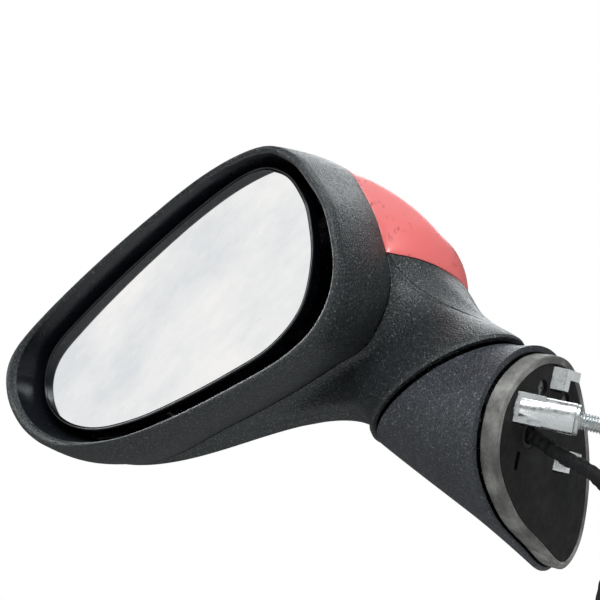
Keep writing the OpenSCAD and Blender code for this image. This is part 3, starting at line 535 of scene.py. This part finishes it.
gloss, mirror_coat, body_paint = rim_gloss(), mirror(), paint()
gasket_mat, plate_mat, tape_mat, film = rubber_band(), plate_plastic(), tape(), heater_film()
casting = metal(
    "cast_metal", (0.92, 0.93, 0.92), (0.78, 0.80, 0.80), (0.2, 0.38), 420, 0.0001, stain=(0.25, 0.25, 0.24))
zinc = metal(
    "zinc_thread", (0.72, 0.73, 0.70), (0.55, 0.58, 0.60), (0.22, 0.4), 900, 0.00004, stain=(0.2, 0.2, 0.19))
steel = metal(
    "screw_metal", (0.56, 0.56, 0.55), (0.40, 0.40, 0.39), (0.28, 0.45), 900, stain=(0.12, 0.11, 0.1))
can = metal("motor_can", (0.66, 0.67, 0.69), (0.50, 0.51, 0.53), (0.25, 0.4), 300, brush=(1, 12, 1))
spring = metal("spring_steel", (0.40, 0.41, 0.44), (0.26, 0.27, 0.29), (0.25, 0.4), 700)

# The finish of each material slot of the record.
finishes = {
    "glass_face": mirror_coat, "black_gloss": gloss, "heater": film, "natural_plastic": natural,
    "charcoal_plastic": charcoal, "black_plastic": black_plastic, "body_paint": body_paint, "tape": tape_mat,
    "gasket_rubber": gasket_mat, "cast_metal": casting, "screw_metal": steel, "motor_can": can,
    "spring_steel": spring, "zinc_thread": zinc,
}
slot_of = {entry["node"]: entry["material_slot"] for entry in frame["record"]["subparts"]}

# Every CAD node that stays gets its finish and softened edges.
for name, o in nodes.items():
    for s in o.material_slots:
        s.material = plate_mat if name == "base_plate" else finishes.get(slot_of.get(name), black_plastic)
    weld = o.modifiers.new("weld", "WELD")
    weld.merge_threshold = 0.00001
    soft = o.modifiers.new("edges", "BEVEL")
    soft.width, soft.segments, soft.limit_method, soft.angle_limit = 0.00025, 2, "ANGLE", math.radians(40)
    soft.harden_normals = False
    soft.use_clamp_overlap = True

# ------------------------------------------------------------------ cable
cable_steps, rings_per_step, cable_sides = 120, 4, 28
cable_radius, lap_height, tape_pitch = 2.52, 0.16, 9.0  # the tape climbs 9 mm in each turn
path = [course(cable_route, i / cable_steps) for i in range(cable_steps + 1)]
dirs = [unit(path[min(i + 1, cable_steps)] - path[max(i - 1, 0)]) for i in range(cable_steps + 1)]
ups = [unit(np.cross(d, V(0.3, 1, 0))) for d in dirs]
length = sum(np.linalg.norm(path[i + 1] - path[i]) for i in range(cable_steps))


def cable_ring(i):
    """One ring of the taped cable: each turn of tape laps the last, and the wires inside show as lumps."""
    a, f = divmod(i, rings_per_step)
    b, f = min(a + 1, cable_steps), f / rings_per_step
    c, d, u = mix(path[a], path[b], f), unit(mix(dirs[a], dirs[b], f)), unit(mix(ups[a], ups[b], f))
    v, along, row = np.cross(u, d), i / (cable_steps * rings_per_step) * length, []
    for k in range(cable_sides):
        turn = 2 * math.pi * k / cable_sides
        wrap_at = (along / tape_pitch - k / cable_sides) % 1.0
        lap = lap_height * min(wrap_at / 0.06, 1) * (1 - 0.75 * wrap_at)
        lump = 0.15 * math.sin(along * 0.55 + 2.1 * math.sin(turn)) + 0.1 * math.sin(along * 1.31 + 1.0)
        row.append(c + (cable_radius + lap + lump) * (math.cos(turn) * u + math.sin(turn) * v))
    return row


cable_rings = [cable_ring(i) for i in range(cable_steps * rings_per_step + 1)]
cable = loft("cable_taped", cable_rings, [tape_mat], wrap=False)
weighted(cable, 50)
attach(cable, "foot")
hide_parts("cable")


# ------------------------------------------------------------------ bezel
side_swell, lip_rise, lip_depth = 2.5, 2.2, 4.2


def bezel_section(t):
    """One closed section of the ring: throat, lip, outer side, rear edge and back again on the inside."""
    g, ng, nr = spline(glass_curve, t), outward(glass_curve, t), outward(rear_curve, t)
    li, lo, re = spline(lip_in_curve, t), spline(lip_out_curve, t), spline(rear_curve, t)
    throat = g + throat_gap * ng
    swell = side_swell * (0.25 + 0.75 * min(max(-nr[0] - nr[1], 0), 1))  # fullest at the outboard lower side
    lip_y = lip_front - lip_rise * min(max((li[1] / 2 - li[0] - 10) / 90, 0), 1)  # further out outboard
    front = lip_y + lip_depth

    def side(k, inset=0):
        """The ring's side at the share k of the way from its lip to its rear edge."""
        return mix(lo, re, k) + (swell * math.sin(math.pi * k) - inset) * nr, mix(front, rear_y, k)

    pts = [(throat, throat_y, 0.4)]
    pts += [(mix(throat, li, k), mix(throat_y, lip_y + 1.8, k), 0) for k in (0.25, 0.5, 0.75)]
    pts += [(li, lip_y + 1.8, 1.0), (mix(li, lo, 0.22), lip_y + 0.45, 0.9), (mix(li, lo, 0.5), lip_y, 0.9),
            (mix(li, lo, 0.78), lip_y + 1.0, 0.7), (lo, front, 0.45)]
    pts += [(*side(k), 0) for k in (0.06, 0.12, 0.2, 0.28, 0.36, 0.44, 0.52, 0.6, 0.68, 0.76, 0.84, 0.92)]
    pts += [(re, rear_y, 0.45), (re - wall * nr, rear_y, 0.2)]
    pts += [(*side(k, wall), 0) for k in (0.8, 0.6)]
    pts += [(mix(mix(li, throat, 0.4), side(0.35)[0], 0.5), 0, 0), (throat + wall * ng, throat_y, 0.4)]
    section = rounded([V(p[0], y, p[1]) for p, y, c in pts], [c for p, y, c in pts], 4)
    return [head(p) for p in section]


bezel_stations = 306
throat_points = 9  # the first points of a section: they lie on the smooth wall of the throat
# the throat's points take the darker plastic: painted shade inside the ring
bezel = loft("bezel_ring_body",
             [bezel_section(i * len(glass_curve) / bezel_stations) for i in range(bezel_stations)],
             [charcoal, throat_shade_plastic], pick=lambda i, j: 1 if j < throat_points else 0)
weighted(bezel)
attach(bezel, "head")
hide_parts("bezel_ring")


# ------------------------------------------------------------------ cap and lower housing
def joint_point(a, z, grow=0.0):
    """A point of the joint's oval at the angle a, in the head's frame."""
    a = math.radians(a)
    return V(joint_at[0] + (joint_rx + grow) * math.cos(a), joint_at[1] + (joint_ry + grow) * math.sin(a), z)


def seam_point(k):
    """A point of the cap's edge, for k from 0 to 1."""
    s = course(seam, k)
    return V(s[0], mix(rear_y, back_y, max(s[1], 0.01)), s[2])


def rear_point(t, y):
    p = spline(rear_curve, t)
    return V(p[0], y, p[1])


def cap_line(k, steps):
    """From the ring's rear edge over the cap to its lower edge."""
    place = course(seam, k)[4] + 0.35 * max((k - 0.9) / 0.08, 0)
    u, c, out = rear_point(place, rear_y + gap), seam_point(k) + V(0, 0, 0.45), outward(rear_curve, place)
    reach, drop = c[1] - u[1], math.hypot(c[0] - u[0], c[2] - u[2])
    return [head(bezier(u, u + V(out[0] * 0.12 * reach, 0.5 * reach, out[1] * 0.05 * reach),
                        c + V(max(out[0], 0) * 0.36 * reach, 0.1 * reach, 0.38 * drop), c, j / steps))
            for j in range(steps + 1)]


rim = head_at[1] + rear_y + gap  # where the shells start, behind the ring
cap_lines, cap_steps = 160, 44
cap_grid = [cap_line(mix(0.015, 0.98, i / cap_lines), cap_steps) for i in range(cap_lines + 1)]
painted_points = cap_steps + 6  # the outer side of a section with its rounded rims
cap = loft("painted_cap_body", shell_sections(cap_grid, wall, False, soften, rim, upto=cap_steps),
           [body_paint, black_plastic], wrap=False, pick=lambda i, j: 0 if j < painted_points else 1)
weighted(cap)
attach(cap, "head")
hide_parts("painted_cap")


def housing_line(a, lead, angle, steps):
    """Down from the housing's upper edge to its flared mouth, which ends in a short upright lip."""
    top = joint_point(angle, fold_z + joint_gap / 2 + 1.7)
    low = joint_point(angle, fold_z + joint_gap / 2)
    far, r = np.linalg.norm(joint_point(angle, fold_z + joint_gap / 2) - a), math.radians(angle)
    flare = V(-0.42 * math.cos(r), -0.42 * math.sin(r), 1)
    line = [bezier(a, a + lead * far, top + min(max(0.28 * far, 14), 24) * flare, top, (j / steps) ** 0.9)
            for j in range(steps + 1)]
    return [head(p) for p in line + [mix(top, low, k) for k in (0.12, 0.3, 0.65, 1)]]


edge_lines, housing_steps = 130, 46
front_half, seam_half = [], []
for i in range(edge_lines):
    k = i / edge_lines
    e = course(front_edge, k)
    start = rear_point(e[0], rear_y + gap)
    front_half.append(housing_line(start, course(front_lead, k), e[1], housing_steps))
    seam_half.append(housing_line(seam_point(k), course(seam_lead, k), course(seam, k)[3], housing_steps))
housing = loft("lower_housing_body", shell_sections(front_half + seam_half, wall, True, soften, rim),
               [charcoal])
weighted(housing, 62)
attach(housing, "head")
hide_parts("lower_housing")


# ------------------------------------------------------------------ glass and its holder
def glass_ring(d, y, count=255):
    """The glass's outline, d millimetres larger, at the depth y."""
    made = []
    for i in range(count):
        t = i * len(glass_curve) / count
        p = spline(glass_curve, t) + d * outward(glass_curve, t)
        made.append(head((p[0], y, p[1])))
    return made


glass = loft("mirror_pane", [glass_ring(d, y) for d, y in ((-0.55, 0), (-0.2, 0.05), (0, 0.3), (0, 2))],
             [mirror_coat, gloss], wrap=False, pick=lambda i, j: 0 if i < 1 else 1)
glass.data.polygons[len(glass.data.polygons) - 1].material_index = 1  # the pane's back
weighted(glass, 30)
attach(glass, "glass_unit")
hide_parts("mirror_glass")

tray = loft("tray", [glass_ring(d, y) for d, y in (
    (-6, 2.4), (0.15, 2.4), (0.15, 0.35), (0.28, -0.05), (0.55, -0.32), (0.95, -0.4), (1.3, -0.25),
    (1.55, 0.15), (1.6, 0.7), (1.6, 4.1), (1.45, 4.5), (1.1, 4.6), (-6, 4.6))], [gloss], wrap=False)


def ear(x, pin_y=11, radius=3.6, bore_radius=2.05, thick=3, reach=6.45, sides=48):
    """An ear of the holder round one of the gimbal's pins; the half toward the tray is square."""
    sections = []
    for k in range(sides):
        c, s = math.cos(2 * math.pi * k / sides), math.sin(2 * math.pi * k / sides)
        far = radius / max(abs(c), abs(s) * radius / reach) if s < 0 else radius
        outer, bore = (pin_y + far * s, far * c), (pin_y + bore_radius * s, bore_radius * c)
        corners = ((outer, 0), (outer, thick), (bore, thick), (bore, 0))
        sections.append([head((x + dx, *q)) for q, dx in corners])
    return loft("ear", sections, [gloss])


def screw_cup(x, z):
    """A cup for the ball of a jack screw."""
    cup = turned([(5.6, 0), (5.6, 5.3), (5.3, 5.6), (4.6, 5.6), (4.3, 5.3), (4.3, 0.4), (4.3, 0)])
    return loft("cup", placed(cup, lambda p: head((x + p[0], 4.55 + p[2], z + p[1]))), [gloss])


parts = [tray, ear(-11), ear(8), screw_cup(34, 0), screw_cup(0, -28)]
holder = joined("glass_holder_body", *parts)
weighted(holder, 35)
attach(holder, "glass_unit")
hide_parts("glass_holder")


# ------------------------------------------------------------------ foot
def cover_line(a, steps):
    """Down the foot's cover, from the joint's rim to the outline of the mounting face."""
    t = ((720 - a) % 360) / 30
    p, o = spline(face_curve, t), outward(face_curve, t)
    q = face_point(p + (2.6 + 1.2 * max(-o[0], 0)) * o, -7)
    j = head(joint_point(a, fold_z - joint_gap / 2, -1.2))
    first, last = mix(j, q, 0.33) + V(0, 0, -1.5), mix(j, q, 0.67)
    return [bezier(j, first, last, q, k / steps) for k in range(steps + 1)]


foot_stations = 240
cover_grid = [cover_line(i * 360 / foot_stations, 36) for i in range(foot_stations)]
# the cover's plastic is painted lighter: painted sheen
cover = loft("foot_cover_body", shell_sections(cover_grid, wall, True, 0.7), [cover_sheen_plastic])
weighted(cover)
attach(cover, "foot")
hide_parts("foot_cover")


def band_section(t):
    """One closed section of the rubber band round the mounting face."""
    p, o = spline(face_curve, t), outward(face_curve, t)
    pts = [(0, -6.2, 0.3), (0.1, -3, 0), (0, -0.05, 0.8), (-3, 0, 0.5), (-3, -6.2, 0.3)]
    return rounded([face_point(p + d * o, z) for d, z, c in pts], [c for d, z, c in pts], 3)


band = [band_section(i * len(face_curve) / foot_stations) for i in range(foot_stations)]
gasket = loft("gasket_band", band, [gasket_mat])
weighted(gasket)
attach(gasket, "foot")
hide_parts("base_gasket")

# The stud, along its own axis from the post: a shank, then one helical groove with 1 mm to the turn that
# fades in at its root and ends in a chamfer.
stud_from, thread_from, stud_to = 10.0, 28.0, 58.0
stud_radius, shank_radius, groove, chamfer = 3.0, 2.7, 0.56, 0.9
stud_sides, rings_per_mm = 40, 14


def stud_ring(i):
    z, row = stud_from + i / rings_per_mm, []
    fade = min(max(z - thread_from, 0), 1)
    for k in range(stud_sides):
        crest = 1 - abs(2 * ((z - k / stud_sides) % 1.0) - 1)
        cut = groove * (1 - min(max((crest - 0.12) / 0.76, 0), 1))
        tip = stud_radius - 0.8 * max(z - (stud_to - chamfer), 0)
        r = min(stud_radius - fade * cut, tip) if z > thread_from else shank_radius
        row.append(round_point(r, k / stud_sides, z))
    return row


stud_rows = [stud_ring(i) for i in range(int((stud_to - stud_from) * rings_per_mm) + 1)]
stud = loft("stud_thread", placed(stud_rows, along_stud(post_at)), [zinc], wrap=False)
stud.data.set_sharp_from_angle(angle=math.radians(70))
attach(stud, "foot")
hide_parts("mounting_stud")

collar = loft("collar_ring", placed(turned(
    [(2.72, 26.55), (4.95, 26.55), (5.3, 26.85), (5.3, 27.7), (4.95, 28.0), (3.0, 28.0), (2.72, 27.8)], 64),
    along_stud(post_at)), [zinc])
weighted(collar)
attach(collar, "foot")
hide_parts("stud_collar")

grommet = loft("grommet_ring", placed(turned(
    [(3.35, -6), (4.4, -6), (4.4, -0.8), (5.0, -0.8), (5.0, -0.2), (4.8, 0), (3.6, 0), (3.35, -0.25)], 48),
    lambda p: on_face((cable_at[0] + p[0], cable_at[1] + p[1], p[2]))), [black_plastic])
weighted(grommet)
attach(grommet, "foot")
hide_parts("cable_grommet")

# ------------------------------------------------------------------ light, floor and backdrop
world = bpy.data.worlds.new("studio")
world.use_nodes = True
fill = next(n for n in world.node_tree.nodes if n.type == "BACKGROUND")
fill.inputs["Color"].default_value = (1, 1, 1, 1)
fill.inputs["Strength"].default_value = 0.12
scene.world = world


def softbox(name, at, target, size, level, tint=(0.94, 0.98, 1.0)):
    """A rectangular lamp; level is how bright its face is, so a larger one gives more light."""
    light = bpy.data.lights.new(name, "AREA")
    light.shape, light.size, light.size_y = "RECTANGLE", size[0], size[1]
    light.energy = level * math.pi * size[0] * size[1]
    light.color = tint
    o = bpy.data.objects.new(name, light)
    scene.collection.objects.link(o)
    o.location = at
    o.rotation_mode = "QUATERNION"
    o.rotation_quaternion = (Vector(target) - Vector(at)).to_track_quat("-Z", "Y")


middle = (-0.08, 0.0, 0.08)
softbox("panel_front", (-0.80, -0.92, 0.95), middle, (1.15, 0.95), 0.79, (1, 1, 1))
softbox("key", (-0.75, -0.35, 1.15), middle, (0.5, 0.5), 5.5)
softbox("top_back", (0.1, 0.9, 1.0), middle, (0.9, 0.6), 3.6)
softbox("front_low", (-0.25, -0.45, -0.19), middle, (0.55, 0.3), 0.8)
softbox("left_low", (-0.95, -0.5, -0.08), (-0.02, -0.02, 0.02), (0.3, 0.5), 3.0)
softbox("sheen", (0.5, -0.95, 0.6), middle, (0.4, 0.4), 8.3)
softbox("side", (1.0, -0.35, 0.6), middle, (0.6, 0.6), 9.8)


def floor_paper():
    t = Tree("floor_paper")
    return t.set(Base_Color=t.blend(t.noise(3, 2), (0.591, 0.591, 0.591), (0.6, 0.6, 0.6)), Roughness=0.9)


def backdrop_white():
    return Tree("backdrop_white").set(Base_Color=(0, 0, 0), Roughness=1.0, Specular_IOR_Level=0.0,
                                      Emission_Color=(1, 1, 1), Emission_Strength=1.0)


# The floor lies just under the connector.
floor_z, floor_half = -208, 3000
floor_corners = [(x * floor_half, y * floor_half, floor_z) for x, y in ((-1, -1), (1, -1), (1, 1), (-1, 1))]
floor = new_mesh("floor", floor_corners, [(0, 1, 2, 3)], [floor_paper()])
bm = bmesh.new()
bmesh.ops.create_icosphere(bm, subdivisions=4, radius=4.5)
dome_mesh = bpy.data.meshes.new("backdrop")
bm.to_mesh(dome_mesh)
bm.free()
dome_mesh.materials.append(backdrop_white())
dome = bpy.data.objects.new("backdrop", dome_mesh)
scene.collection.objects.link(dome)
dome.visible_diffuse = dome.visible_glossy = dome.visible_shadow = dome.visible_transmission = False
